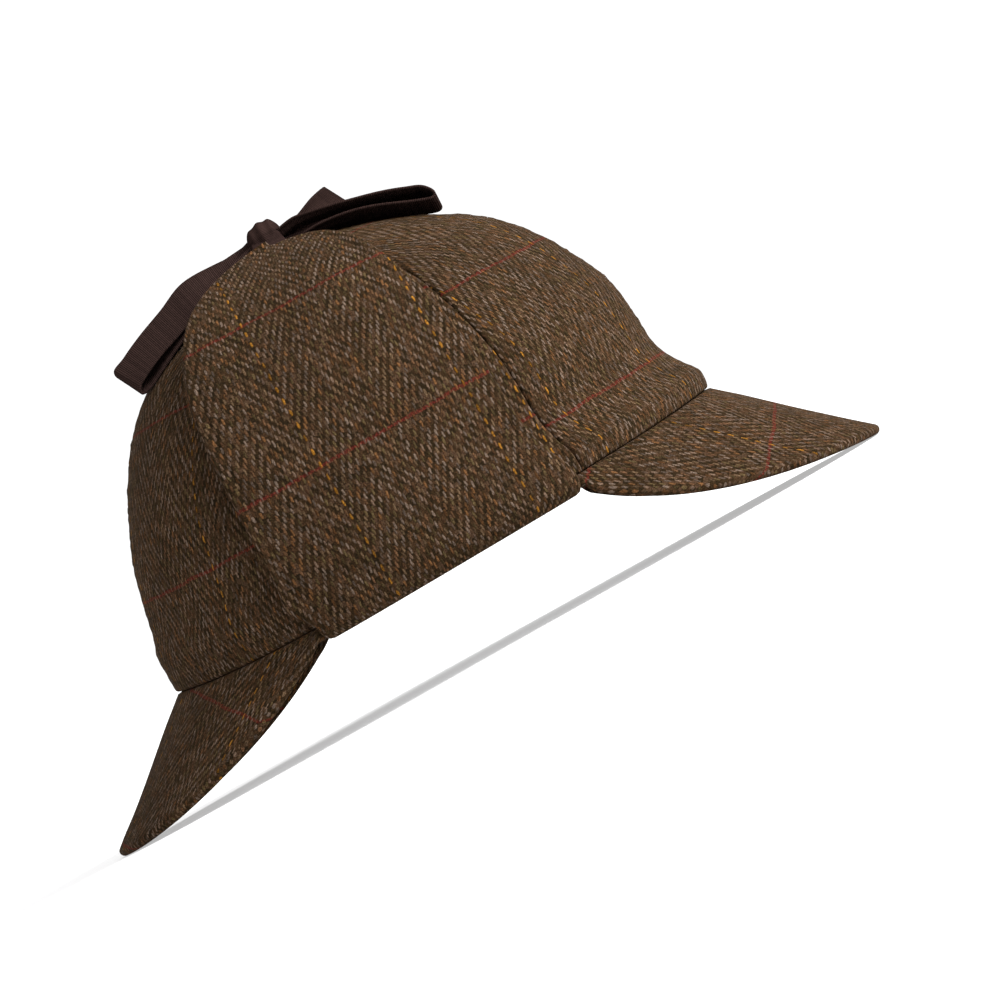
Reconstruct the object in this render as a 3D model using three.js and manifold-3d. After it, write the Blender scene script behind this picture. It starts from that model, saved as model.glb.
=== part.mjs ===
import * as THREE from 'three';
import { mergeVertices } from 'three/addons/utils/BufferGeometryUtils.js';
import Module from 'manifold-3d';

// A deerstalker hat: a crown of six sewn panels, a stiff peak in front and one behind, and two
// ear flaps folded up outside the crown and tied in a bow on top. Millimetres, +X to the front,
// +Y to the wearer's left, +Z up. The pieces are worked out from the middle of the crown's lower
// edge, and the whole hat is then tipped and lifted until it stands on both peaks.

const wasm = await Module();
wasm.setup();
const { Vector3, MathUtils } = THREE;

// Crown
const rimHalfLength = 105;
const rimHalfWidth = 84;
const crownHeight = 117;
const crownWall = 2.5;
const rimRiseFront = 2.6;
const rimRiseBack = 5;
const seamGap = 0.3;
const crownTopHole = 1.6;
const panelTurn = Math.PI / 3;
const panelSteps = { across: 8, up: 16 };

// How the crown swells and closes above its lower edge: the height as a share of crownHeight,
// and the half-length to the front and back and the half-width as shares of the rim's.
const crownSections = [
  { up: 0.00, front: 1.000, back: 1.000, side: 1.000 },
  { up: 0.06, front: 1.004, back: 1.002, side: 0.998 },
  { up: 0.12, front: 0.961, back: 1.000, side: 0.990 },
  { up: 0.20, front: 0.926, back: 0.973, side: 0.975 },
  { up: 0.30, front: 0.920, back: 0.950, side: 0.958 },
  { up: 0.42, front: 0.904, back: 0.913, side: 0.925 },
  { up: 0.54, front: 0.850, back: 0.851, side: 0.870 },
  { up: 0.66, front: 0.774, back: 0.770, side: 0.790 },
  { up: 0.76, front: 0.676, back: 0.682, side: 0.690 },
  { up: 0.85, front: 0.535, back: 0.567, side: 0.560 },
  { up: 0.93, front: 0.362, back: 0.381, side: 0.380 },
  { up: 0.98, front: 0.185, back: 0.192, side: 0.195 },
  { up: 1.00, front: 0.000, back: 0.000, side: 0.000 },
];

// What hangs from the crown's lower edge sits this far under it.
const rimClearance = 0.3;

// Peaks. The depth runs down the slope, the dip is measured from level in the middle and at the
// ends, fan is how much the slope's heading turns with the rim, and round and full shape the edge.
const peakWall = 3.5;
const peakHalfTurn = MathUtils.degToRad(62);
const peakSteps = { across: 24, out: 7 };
const frontPeak = {
  name: 'front_peak', way: 1, depth: 59.9, dipMiddle: 43, dipEnd: 63, fan: 0.48, round: 1.9, full: 0.68,
};
const backPeak = {
  name: 'back_peak', way: -1, depth: 58.2, dipMiddle: 38.7, dipEnd: 53, fan: 0.73, round: 2.33, full: 1,
};
const peakLeastDepth = 2;
const restFlat = 0.6;

// Ear flaps
const flapWall = 4;
const flapBackReach = 55.4;
const flapFrontReach = 49.2;
const flapFoldRadius = 5.8;
const flapClearance = 0.8;
const flapStandOff = 6;
const flapFoldGap = 1.2;
const flapFoldRise = 14;
const flapTipClearance = 3;
const flapSteps = { across: 12, up: 18, fold: 4 };

// A flap's edges: how far along the flap from its fold, how far its edges stand behind and in
// front of the hat's middle, as shares of flapBackReach and flapFrontReach, and how far its back
// edge stands off the crown, as a share of flapStandOff.
const flapOutline = [
  { along: 0.00, back: 0.95, front: 0.97, off: 0.00 },
  { along: 0.06, back: 0.97, front: 0.93, off: 0.25 },
  { along: 0.16, back: 0.92, front: 0.86, off: 0.75 },
  { along: 0.30, back: 0.895, front: 0.84, off: 1.00 },
  { along: 0.44, back: 0.865, front: 0.80, off: 1.00 },
  { along: 0.56, back: 0.83, front: 0.75, off: 1.00 },
  { along: 0.66, back: 0.775, front: 0.675, off: 1.00 },
  { along: 0.76, back: 0.69, front: 0.595, off: 0.90 },
  { along: 0.84, back: 0.58, front: 0.52, off: 0.75 },
  { along: 0.91, back: 0.43, front: 0.43, off: 0.60 },
  { along: 0.96, back: 0.29, front: 0.33, off: 0.50 },
  { along: 1.00, back: 0.13, front: 0.17, off: 0.40 },
];

// Ribbons and bow
const ribbonWidth = 20;
const ribbonWall = 1.2;
const ribbonClearance = 0.5;
const tieSpread = 0.6;
const tieGather = 0.75;
const knotLength = 13;
const knotWidth = 17;
const knotHeight = 12.5;
const knotClearance = 0.3;
const frontLoopLength = 51;
const backLoopLength = 59;
const frontTailLength = 24;
const backTailLength = 34;
const ribbonSteps = { across: 4, along: 22 };

// The bow's ribbons, each from the knot outwards: reach is a share of the ribbon's length, lift is
// the height over the crown's middle line, drift the way off it to the left and width the gathered
// width, as shares of knotHeight, ribbonWidth and ribbonWidth. In degrees, roll turns the ribbon's
// left edge up and lean turns that edge to the front.
const frontLoopPath = [
  { reach: 0.00, lift: 0.52, drift: 0.00, width: 0.60, roll: 0, lean: 0 },
  { reach: 0.12, lift: 0.60, drift: -0.02, width: 0.72, roll: -6, lean: 0 },
  { reach: 0.26, lift: 0.56, drift: -0.05, width: 0.85, roll: -8, lean: 0 },
  { reach: 0.52, lift: 0.572, drift: -0.08, width: 1.00, roll: -10.1, lean: 0 },
  { reach: 0.76, lift: 0.66, drift: -0.08, width: 1.00, roll: -11.8, lean: 0 },
  { reach: 0.85, lift: 0.70, drift: -0.08, width: 1.00, roll: -11.8, lean: 0 },
  { reach: 0.95, lift: 0.74, drift: -0.08, width: 1.00, roll: -11.8, lean: 0 },
  { reach: 1.00, lift: 0.58, drift: -0.08, width: 1.00, roll: -11.8, lean: 0 },
  { reach: 0.97, lift: 0.38, drift: -0.08, width: 1.00, roll: -11.8, lean: 0 },
  { reach: 0.85, lift: 0.28, drift: -0.08, width: 1.00, roll: -12.1, lean: 0 },
  { reach: 0.76, lift: 0.248, drift: -0.08, width: 1.00, roll: -12.7, lean: 0 },
  { reach: 0.52, lift: 0.224, drift: -0.08, width: 1.00, roll: -12.7, lean: 0 },
  { reach: 0.26, lift: 0.204, drift: -0.05, width: 0.85, roll: -11.2, lean: 0 },
  { reach: 0.00, lift: 0.20, drift: 0.00, width: 0.60, roll: -5, lean: 0 },
];
const backLoopPath = [
  { reach: 0.00, lift: 0.54, drift: -0.05, width: 0.60, roll: 15, lean: 0 },
  { reach: 0.22, lift: 0.536, drift: -0.20, width: 0.85, roll: 26.6, lean: -8 },
  { reach: 0.43, lift: 0.652, drift: -0.35, width: 1.00, roll: 30.7, lean: -14 },
  { reach: 0.60, lift: 0.572, drift: -0.42, width: 1.00, roll: 32.8, lean: -18 },
  { reach: 0.77, lift: 0.636, drift: -0.42, width: 1.00, roll: 31.8, lean: -20 },
  { reach: 0.91, lift: 0.704, drift: -0.42, width: 1.00, roll: 31.5, lean: -26 },
  { reach: 0.985, lift: 0.776, drift: -0.42, width: 1.00, roll: 33.7, lean: -30 },
  { reach: 0.975, lift: 0.504, drift: -0.42, width: 1.00, roll: 28.9, lean: -25 },
  { reach: 0.87, lift: 0.136, drift: -0.42, width: 1.00, roll: 16.9, lean: -13 },
  { reach: 0.65, lift: 0.136, drift: -0.42, width: 1.00, roll: 16.9, lean: -5 },
  { reach: 0.39, lift: 0.16, drift: -0.35, width: 0.95, roll: 14, lean: 0 },
  { reach: 0.14, lift: 0.18, drift: -0.18, width: 0.75, roll: 8, lean: 0 },
  { reach: 0.00, lift: 0.16, drift: -0.05, width: 0.60, roll: 4, lean: 0 },
];
const frontTailPath = [
  { reach: 0.00, lift: 0.47, drift: 0.36, width: 0.30, roll: 60, lean: 0 },
  { reach: 0.35, lift: 0.55, drift: 0.54, width: 0.38, roll: 78, lean: -14 },
  { reach: 0.70, lift: 0.65, drift: 0.67, width: 0.72, roll: 85, lean: -20 },
  { reach: 1.00, lift: 0.74, drift: 0.73, width: 1.00, roll: 85, lean: -27 },
];
const backTailPath = [
  { reach: 0.00, lift: 0.98, drift: 0.10, width: 0.40, roll: 0, lean: 0 },
  { reach: 0.30, lift: 1.10, drift: 0.50, width: 0.75, roll: -8, lean: 0 },
  { reach: 0.65, lift: 0.95, drift: 1.05, width: 1.00, roll: -20, lean: 0 },
  { reach: 1.00, lift: 0.50, drift: 1.60, width: 1.00, roll: -30, lean: 0 },
];

// Colours
const tweed = new THREE.MeshStandardMaterial({ color: 0x5f5343, roughness: 0.95, metalness: 0 });
const grosgrain = new THREE.MeshStandardMaterial({ color: 0x2c2021, roughness: 0.7, metalness: 0 });

// Smooth interpolation

const smoothColumn = (rows, column) =>
  new THREE.SplineCurve(rows.map((row, index) => new THREE.Vector2(index, row[column])));

// A table becomes a function that gives each of its columns at a share of the table's length.
function smoothTable(rows) {
  const columns = Object.keys(rows[0]);
  const curves = columns.map((column) => smoothColumn(rows, column));
  return (share) => {
    const at = MathUtils.clamp(share, 0, 1);
    return Object.fromEntries(columns.map((column, index) => [column, curves[index].getPoint(at).y]));
  };
}

// Reads a table by the value of its rising first column.
function readBy(table, column, value) {
  let low = 0;
  let high = 1;
  for (let turn = 0; turn < 30; turn += 1) {
    const middle = (low + high) / 2;
    if (table(middle)[column] < value) low = middle;
    else high = middle;
  }
  return table((low + high) / 2);
}

// Solids from grids of points

// Closes two faces of a bent sheet into a solid. Each row is a list of { outer, inner } points.
function sheetGeometry(rows) {
  const rowCount = rows.length;
  const columnCount = rows[0].length;
  const positions = rows.flat().flatMap(({ outer, inner }) => [...outer.toArray(), ...inner.toArray()]);
  const outer = (row, column) => 2 * (row * columnCount + column);
  const inner = (row, column) => outer(row, column) + 1;
  const triangles = [];
  const quad = (a, b, c, d) => triangles.push(a, b, c, a, c, d);
  for (let row = 0; row + 1 < rowCount; row += 1) {
    for (let column = 0; column + 1 < columnCount; column += 1) {
      quad(outer(row, column), outer(row, column + 1), outer(row + 1, column + 1), outer(row + 1, column));
      quad(inner(row, column), inner(row + 1, column), inner(row + 1, column + 1), inner(row, column + 1));
    }
    const last = columnCount - 1;
    quad(outer(row, 0), outer(row + 1, 0), inner(row + 1, 0), inner(row, 0));
    quad(outer(row + 1, last), outer(row, last), inner(row, last), inner(row + 1, last));
  }
  for (let column = 0; column + 1 < columnCount; column += 1) {
    const last = rowCount - 1;
    quad(outer(0, column + 1), outer(0, column), inner(0, column), inner(0, column + 1));
    quad(outer(last, column), outer(last, column + 1), inner(last, column + 1), inner(last, column));
  }
  const geometry = new THREE.BufferGeometry();
  geometry.setAttribute('position', new THREE.Float32BufferAttribute(positions, 3));
  geometry.setIndex(triangles);
  return facingOut(geometry);
}

function signedVolume(geometry) {
  const position = geometry.getAttribute('position');
  const index = geometry.getIndex().array;
  const corner = (at) => new Vector3().fromBufferAttribute(position, index[at]);
  let volume = 0;
  for (let at = 0; at < index.length; at += 3) {
    volume += corner(at).dot(corner(at + 1).cross(corner(at + 2))) / 6;
  }
  return volume;
}

// Turns every triangle round where the faces point inwards.
function facingOut(geometry) {
  if (signedVolume(geometry) < 0) geometry.getIndex().array.reverse();
  return geometry;
}

function toManifold(geometry) {
  const bare = geometry.clone();
  bare.deleteAttribute('normal');
  bare.deleteAttribute('uv');
  const merged = mergeVertices(bare, 1e-4);
  return new wasm.Manifold(new wasm.Mesh({
    numProp: 3,
    vertProperties: new Float32Array(merged.getAttribute('position').array),
    triVerts: new Uint32Array(merged.getIndex().array),
  }));
}

function fromManifold(solid) {
  const mesh = solid.getMesh();
  const geometry = new THREE.BufferGeometry();
  geometry.setAttribute('position', new THREE.BufferAttribute(mesh.vertProperties, 3));
  geometry.setIndex(new THREE.BufferAttribute(mesh.triVerts, 1));
  return geometry;
}

// Crown surface

const crownAt = smoothTable(crownSections);

function rimEdgeHeight(turn) {
  const rise = Math.cos(turn) < 0 ? rimRiseBack : rimRiseFront;
  return rise * Math.cos(turn) ** 4;
}

// A point of the crown's outer face: turn runs round in plan from the front towards the left, and
// climb runs from 0 at the lower edge to 1 at the top.
function crownPoint(turn, climb) {
  const section = crownAt(climb);
  const lengthways = Math.cos(turn) < 0 ? section.back : section.front;
  return new Vector3(
    rimHalfLength * lengthways * Math.cos(turn),
    rimHalfWidth * section.side * Math.sin(turn),
    MathUtils.lerp(rimEdgeHeight(turn), crownHeight, section.up),
  );
}

const nudge = 1e-3;
function crownNormal(turn, climb) {
  const low = Math.max(climb - nudge, 0);
  const high = Math.min(climb + nudge, 1 - nudge);
  const round = crownPoint(turn + nudge, climb).sub(crownPoint(turn - nudge, climb));
  const up = crownPoint(turn, high).sub(crownPoint(turn, low));
  return round.cross(up).normalize();
}

// The turn at which the crown stands at x, on the side that way names: 1 left, -1 right.
function turnAtX(x, climb, way) {
  const section = crownAt(climb);
  const halfLength = rimHalfLength * (x < 0 ? section.back : section.front);
  return way * Math.acos(MathUtils.clamp(x / halfLength, -1, 1));
}

// Where the crown closes to the half-length of x, as a climb.
function climbClosingAt(x) {
  let low = 0.2;
  let high = 1;
  for (let turn = 0; turn < 30; turn += 1) {
    const middle = (low + high) / 2;
    const section = crownAt(middle);
    if (rimHalfLength * (x < 0 ? section.back : section.front) > Math.abs(x)) low = middle;
    else high = middle;
  }
  return low;
}

// The upright cut through the crown at x: its climbs and the arc walked to each from the rim.
const sliceCache = new Map();
function crownSlice(x) {
  if (sliceCache.has(x)) return sliceCache.get(x);
  const steps = 60;
  const top = climbClosingAt(x);
  const slice = [];
  let walked = 0;
  let last = null;
  for (let step = 0; step <= steps; step += 1) {
    const climb = top * (1 - (1 - step / steps) ** 2);
    const point = crownPoint(turnAtX(x, climb, 1), climb);
    if (last) walked += point.distanceTo(last);
    slice.push({ climb, walked });
    last = point;
  }
  sliceCache.set(x, slice);
  return slice;
}

function climbAfter(x, distance) {
  const slice = crownSlice(x);
  const next = slice.findIndex(({ walked }) => walked >= distance);
  if (next < 1) return next === 0 ? 0 : slice[slice.length - 1].climb;
  const before = slice[next - 1];
  const share = (distance - before.walked) / (slice[next].walked - before.walked);
  return MathUtils.lerp(before.climb, slice[next].climb, share);
}

// The height of the crown's middle line over x.
function crownTopLine(x) {
  const climb = climbClosingAt(x);
  return MathUtils.lerp(rimEdgeHeight(x < 0 ? Math.PI : 0), crownHeight, crownAt(climb).up);
}

// Crown panels

function crownPanel(firstTurn) {
  const rows = [];
  for (let row = 0; row <= panelSteps.up; row += 1) {
    const share = row / panelSteps.up;
    const climb = climbClosingAt(crownTopHole) * Math.sin(share * Math.PI / 2);
    const points = [];
    for (let column = 0; column <= panelSteps.across; column += 1) {
      const plainTurn = firstTurn + panelTurn * column / panelSteps.across;
      const pace = crownPoint(plainTurn + nudge, climb).distanceTo(crownPoint(plainTurn - nudge, climb));
      const edgeTurn = seamGap * nudge / pace;
      const turn = MathUtils.clamp(plainTurn, firstTurn + edgeTurn, firstTurn + panelTurn - edgeTurn);
      const outer = crownPoint(turn, climb);
      const inward = crownNormal(turn, climb);
      if (row === 0) inward.setZ(0).normalize();
      points.push({ outer, inner: outer.clone().addScaledVector(inward, -crownWall) });
    }
    rows.push(points);
  }
  return sheetGeometry(rows);
}

// Peaks

// One cross-section of a peak from its root under the crown's lower edge out to its free edge.
function peakColumn(peak, across) {
  const turn = across * peakHalfTurn;
  const rimTurn = peak.way > 0 ? turn : Math.PI - turn;
  const root = crownPoint(rimTurn, 0);
  const heading = new Vector3(peak.way * Math.cos(peak.fan * turn), Math.sin(peak.fan * turn), 0);
  const inward = crownNormal(rimTurn, 0).setZ(0).normalize().negate();
  const dip = MathUtils.degToRad(MathUtils.lerp(peak.dipMiddle, peak.dipEnd, across ** 2));
  const edge = 1 - Math.abs(across) ** peak.round;
  const depth = Math.max(peak.depth * Math.max(edge, 0) ** peak.full, peakLeastDepth);
  const slope = heading.clone().multiplyScalar(Math.cos(dip)).setZ(-Math.sin(dip));
  const under = heading.clone().multiplyScalar(-Math.sin(dip)).setZ(-Math.cos(dip));
  const start = root.clone().setZ(root.z - rimClearance);
  const down = new Vector3(0, 0, -1);
  const tucked = start.clone().addScaledVector(inward, crownWall);
  const points = [{ outer: tucked, inner: tucked.clone().addScaledVector(down, peakWall) }];
  for (let row = 0; row <= peakSteps.out; row += 1) {
    const along = depth * row / peakSteps.out;
    const outer = start.clone().addScaledVector(heading, rimClearance).addScaledVector(slope, along);
    const lean = MathUtils.smoothstep(along, 0, 3 * peakWall);
    const through = down.clone().lerp(under, lean).normalize();
    points.push({ outer, inner: outer.clone().addScaledVector(through, peakWall) });
  }
  return points;
}

function peakGeometry(peak) {
  const rows = [];
  for (let row = 0; row <= peakSteps.across; row += 1) {
    const share = 2 * row / peakSteps.across - 1;
    rows.push(peakColumn(peak, Math.sin(share * Math.PI / 2)));
  }
  return sheetGeometry(rows);
}

// Ear flaps

const flapEdges = smoothTable(flapOutline);
const foldHalfLength = rimHalfLength * Math.cos(peakHalfTurn) - flapFoldGap;
const middleSlice = crownSlice(0);
const flapLength = middleSlice[middleSlice.length - 1].walked - ribbonWidth / 2 - flapTipClearance;

// The x of a flap's back and front edges.
function flapEdgeXs(along) {
  const edges = readBy(flapEdges, 'along', along);
  const free = MathUtils.smoothstep(along * flapLength, 0, flapWall + flapFoldRadius);
  return {
    back: -MathUtils.lerp(foldHalfLength, flapBackReach * edges.back, free),
    front: MathUtils.lerp(foldHalfLength, flapFrontReach * edges.front, free),
  };
}

// The x of a flap's point: across runs from 0 at the back edge to 1 at the front edge.
function flapX(across, along) {
  const { back, front } = flapEdgeXs(along);
  return MathUtils.lerp(back, front, across);
}

// How far a flap's inner face stands off the crown.
function flapGap(across, along) {
  return flapClearance + flapStandOff * readBy(flapEdges, 'along', along).off * (1 - across) ** 2;
}

// A point a given distance out from the crown's outer face, on the flap's own grid.
function overCrown(x, distance, out, way) {
  const climb = climbAfter(x, distance);
  const turn = turnAtX(x, climb, way);
  return crownPoint(turn, climb).addScaledVector(crownNormal(turn, climb), out);
}

function flapPoint(across, along, out, way) {
  const x = flapX(across, along);
  return overCrown(x, along * flapLength, flapGap(across, along) + out, way);
}

// The fold runs under the crown's lower edge: an upright arc about that edge, then a level lap.
function flapFoldPoints(across, way) {
  const x = flapX(across, 0);
  const turn = turnAtX(x, 0, way);
  const edge = crownPoint(turn, 0);
  const out = crownNormal(turn, 0).setZ(0).normalize();
  const below = new Vector3(0, 0, -1);
  const tucked = edge.clone().addScaledVector(out, -crownWall);
  const points = [{
    outer: tucked.clone().addScaledVector(below, rimClearance + flapWall),
    inner: tucked.clone().addScaledVector(below, rimClearance),
  }];
  for (let step = 0; step < flapSteps.fold; step += 1) {
    const share = step / flapSteps.fold;
    const angle = share * Math.PI / 2;
    const radial = below.clone().multiplyScalar(Math.cos(angle)).addScaledVector(out, Math.sin(angle));
    points.push({
      outer: edge.clone().addScaledVector(radial, flapFoldRadius),
      inner: edge.clone().addScaledVector(radial, MathUtils.lerp(rimClearance, flapClearance, share)),
    });
  }
  return points;
}

function flapColumn(across, way) {
  const points = flapFoldPoints(across, way);
  for (let row = 0; row <= flapSteps.up; row += 1) {
    const along = row / flapSteps.up;
    const foldShare = MathUtils.smoothstep(along * flapLength, 0, flapFoldRise);
    const foldThick = flapFoldRadius - flapClearance;
    points.push({
      outer: flapPoint(across, along, MathUtils.lerp(foldThick, flapWall, foldShare), way),
      inner: flapPoint(across, along, 0, way),
    });
  }
  return points;
}

function flapGeometry(way) {
  const rows = [];
  for (let row = 0; row <= flapSteps.across; row += 1) {
    rows.push(flapColumn(row / flapSteps.across, way));
  }
  return sheetGeometry(rows);
}

// Ribbons and bow

const knotMiddleHeight = crownHeight + ribbonClearance + knotHeight / 2;

function knotGeometry() {
  const radius = knotHeight / 2;
  const half = knotLength / 2;
  const profile = [[0, -1], [0.74, -1], [0.93, -0.72], [1, 0], [0.93, 0.72], [0.74, 1], [0, 1]]
    .map(([outShare, endShare]) => new THREE.Vector2(radius * outShare, half * endShare));
  const geometry = new THREE.LatheGeometry(profile, 16);
  geometry.rotateZ(-Math.PI / 2);
  geometry.scale(1, knotWidth / knotHeight, 1);
  geometry.translate(0, 0, knotMiddleHeight);
  return fromManifold(toManifold(geometry));
}

// A ribbon of the bow: its path from the knot's end, to the front (way 1) or the back (way -1).
function bowRibbon(path, length, way) {
  const table = smoothTable(path);
  const start = knotLength / 2 + knotClearance;
  const centre = (share) => {
    const place = table(share);
    const x = way * (start + place.reach * length);
    return new Vector3(x, place.drift * ribbonWidth, crownTopLine(x) + place.lift * knotHeight);
  };
  const rows = [];
  for (let row = 0; row <= ribbonSteps.along; row += 1) {
    const share = row / ribbonSteps.along;
    const place = table(share);
    const roll = MathUtils.degToRad(place.roll);
    const lean = MathUtils.degToRad(place.lean);
    const crosswise = new Vector3(0, Math.cos(roll), Math.sin(roll) * Math.cos(lean))
      .setX(Math.sin(roll) * Math.sin(lean));
    const onward = centre(Math.min(share + 0.01, 1)).sub(centre(Math.max(share - 0.01, 0))).normalize();
    const face = onward.clone().cross(crosswise).normalize().multiplyScalar(ribbonWall / 2);
    const points = [];
    for (let column = 0; column <= ribbonSteps.across; column += 1) {
      const aside = (column / ribbonSteps.across - 0.5) * ribbonWidth * place.width;
      const middle = centre(share).addScaledVector(crosswise, aside);
      points.push({ outer: middle.clone().add(face), inner: middle.clone().sub(face) });
    }
    rows.push(points);
  }
  return sheetGeometry(rows);
}

// A tie leaves the middle of its flap's tip, where it is sewn in, and crosses to the knot's side.
function tieRibbon(way) {
  const crossRows = 4;
  const sideAt = way * (knotWidth / 2 + knotClearance);
  const { back, front } = flapEdgeXs(1);
  const columns = [];
  for (let column = 0; column <= ribbonSteps.across; column += 1) {
    const place = column / ribbonSteps.across - 0.5;
    const aside = place * ribbonWidth * tieSpread;
    const across = (aside - back) / (front - back);
    const tip = (out) => overCrown(
      aside, flapLength + ribbonClearance, flapGap(across, 1) + flapWall / 2 + out, way,
    );
    const end = new Vector3(place * knotLength * tieGather, sideAt, knotMiddleHeight);
    const half = new Vector3(0, 0, ribbonWall / 2);
    columns.push({
      outer: [tip(ribbonWall / 2), end.clone().add(half)],
      inner: [tip(-ribbonWall / 2), end.clone().sub(half)],
    });
  }
  const rows = [];
  for (let row = 0; row <= crossRows; row += 1) {
    const between = ([start, end]) => start.clone().lerp(end, row / crossRows);
    rows.push(columns.map(({ outer, inner }) => ({ outer: between(outer), inner: between(inner) })));
  }
  return sheetGeometry(rows);
}

// Assembly

const panelNames = [
  'crown_panel_front_left', 'crown_panel_side_left', 'crown_panel_back_left',
  'crown_panel_back_right', 'crown_panel_side_right', 'crown_panel_front_right',
];
const clothPiece = (name, geometry) => ({ name, geometry, cloth: tweed });
const ribbonPiece = (name, geometry) => ({ name, geometry, cloth: grosgrain });
const peaks = [frontPeak, backPeak].map((peak) => clothPiece(peak.name, peakGeometry(peak)));
const pieces = [
  ...panelNames.map((name, index) => clothPiece(name, crownPanel(index * panelTurn))),
  clothPiece('ear_flap_right', flapGeometry(-1)),
  clothPiece('ear_flap_left', flapGeometry(1)),
  ribbonPiece('tie_ribbon_right', tieRibbon(-1)),
  ribbonPiece('tie_ribbon_left', tieRibbon(1)),
  ribbonPiece('bow_knot', knotGeometry()),
  ribbonPiece('bow_loop_front', bowRibbon(frontLoopPath, frontLoopLength, 1)),
  ribbonPiece('bow_loop_back', bowRibbon(backLoopPath, backLoopLength, -1)),
  ribbonPiece('bow_tail_front', bowRibbon(frontTailPath, frontTailLength, 1)),
  ribbonPiece('bow_tail_back', bowRibbon(backTailPath, backTailLength, -1)),
];

// The hat is tipped about its width until the lowest points of both peaks are level, and the
// peaks are then cut off flat where they meet the surface they stand on.

function lowestPoint(geometry) {
  const position = geometry.getAttribute('position');
  let lowest = null;
  for (let index = 0; index < position.count; index += 1) {
    const point = new Vector3().fromBufferAttribute(position, index);
    if (lowest === null || point.z < lowest.z) lowest = point;
  }
  return lowest;
}

let restTilt = 0;
for (let turn = 0; turn < 4; turn += 1) {
  const [front, back] = peaks.map(({ geometry }) => lowestPoint(geometry.clone().rotateY(restTilt)));
  restTilt += Math.atan2(front.z - back.z, front.x - back.x);
}
for (const { geometry } of [...pieces, ...peaks]) geometry.rotateY(restTilt);

const wholeBox = new THREE.Box3();
for (const { geometry } of [...pieces, ...peaks]) {
  geometry.computeBoundingBox();
  wholeBox.union(geometry.boundingBox);
}
const floorHeight = wholeBox.min.z + restFlat;
const boxSize = wholeBox.getSize(new Vector3());
const below = new THREE.BoxGeometry(2 * boxSize.x, 2 * boxSize.y, boxSize.z)
  .translate(0, 0, floorHeight - boxSize.z / 2);
for (const peak of peaks) {
  peak.geometry = fromManifold(toManifold(peak.geometry).subtract(toManifold(below)));
}
pieces.push(...peaks);

const middleX = (wholeBox.min.x + wholeBox.max.x) / 2;
const middleY = (wholeBox.min.y + wholeBox.max.y) / 2;

const hat = new THREE.Group();
hat.position.set(-middleX, -middleY, -floorHeight);
for (const { name, geometry, cloth } of pieces) {
  const mesh = new THREE.Mesh(geometry, cloth);
  mesh.name = name;
  hat.add(mesh);
}

export default hat;
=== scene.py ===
import math

import bmesh
import bpy
import numpy as np
from mathutils import Matrix, Vector


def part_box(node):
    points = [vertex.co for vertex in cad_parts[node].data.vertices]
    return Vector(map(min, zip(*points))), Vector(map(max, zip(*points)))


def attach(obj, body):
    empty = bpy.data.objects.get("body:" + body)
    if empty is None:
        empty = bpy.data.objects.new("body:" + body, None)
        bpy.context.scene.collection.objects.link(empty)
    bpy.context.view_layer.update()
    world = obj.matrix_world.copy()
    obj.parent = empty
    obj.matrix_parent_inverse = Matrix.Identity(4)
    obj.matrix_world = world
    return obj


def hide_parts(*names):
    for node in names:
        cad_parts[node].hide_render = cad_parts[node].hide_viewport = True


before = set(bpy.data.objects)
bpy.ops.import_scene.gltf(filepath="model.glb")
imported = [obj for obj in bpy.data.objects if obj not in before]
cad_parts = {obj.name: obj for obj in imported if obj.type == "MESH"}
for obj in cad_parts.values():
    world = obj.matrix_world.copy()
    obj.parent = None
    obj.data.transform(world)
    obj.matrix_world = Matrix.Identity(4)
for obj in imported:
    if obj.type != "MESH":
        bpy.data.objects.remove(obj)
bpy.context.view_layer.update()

# A deerstalker hat in herringbone tweed, tied on top with a grosgrain ribbon. Sizes are in
# millimetres in the hat's own upright frame: +X to the front, +Y to the wearer's left, +Z up, and
# zero in the middle of the crown's lower edge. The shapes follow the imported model's own formulas.

MM = 0.001

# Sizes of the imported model
RIM_HALF_LENGTH = 105
RIM_HALF_WIDTH = 84
CROWN_HEIGHT = 117
CROWN_WALL = 2.5
RIM_RISE_FRONT = 2.6
RIM_RISE_BACK = 5
RIM_CLEARANCE = 0.3
PANEL_TURN = math.pi / 3
PEAK_WALL = 3.5
PEAK_HALF_TURN = math.radians(62)
FLAP_WALL = 4
FLAP_BACK_REACH = 55.4
FLAP_FRONT_REACH = 49.2
FLAP_FOLD_RADIUS = 5.8
FLAP_CLEARANCE = 0.8
FLAP_STAND_OFF = 6
FLAP_FOLD_GAP = 1.2
FLAP_FOLD_RISE = 14
FLAP_TIP_CLEARANCE = 3
RIBBON_WIDTH = 20
RIBBON_CLEARANCE = 0.5
KNOT_LENGTH = 13
KNOT_WIDTH = 17
KNOT_HEIGHT = 12.5
KNOT_CLEARANCE = 0.3
KNOT_MIDDLE_HEIGHT = CROWN_HEIGHT + RIBBON_CLEARANCE + KNOT_HEIGHT / 2

# The crown by height: up, then its half-length to the front and to the back and its half-width,
# as shares of the rim's.
CROWN_SECTIONS = [
    (0.00, 1.000, 1.000, 1.000),
    (0.06, 1.004, 1.002, 0.998),
    (0.12, 0.961, 1.000, 0.990),
    (0.20, 0.926, 0.973, 0.975),
    (0.30, 0.920, 0.950, 0.958),
    (0.42, 0.904, 0.913, 0.925),
    (0.54, 0.850, 0.851, 0.870),
    (0.66, 0.774, 0.770, 0.790),
    (0.76, 0.676, 0.682, 0.690),
    (0.85, 0.535, 0.567, 0.560),
    (0.93, 0.362, 0.381, 0.380),
    (0.98, 0.185, 0.192, 0.195),
    (1.00, 0.000, 0.000, 0.000),
]

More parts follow.
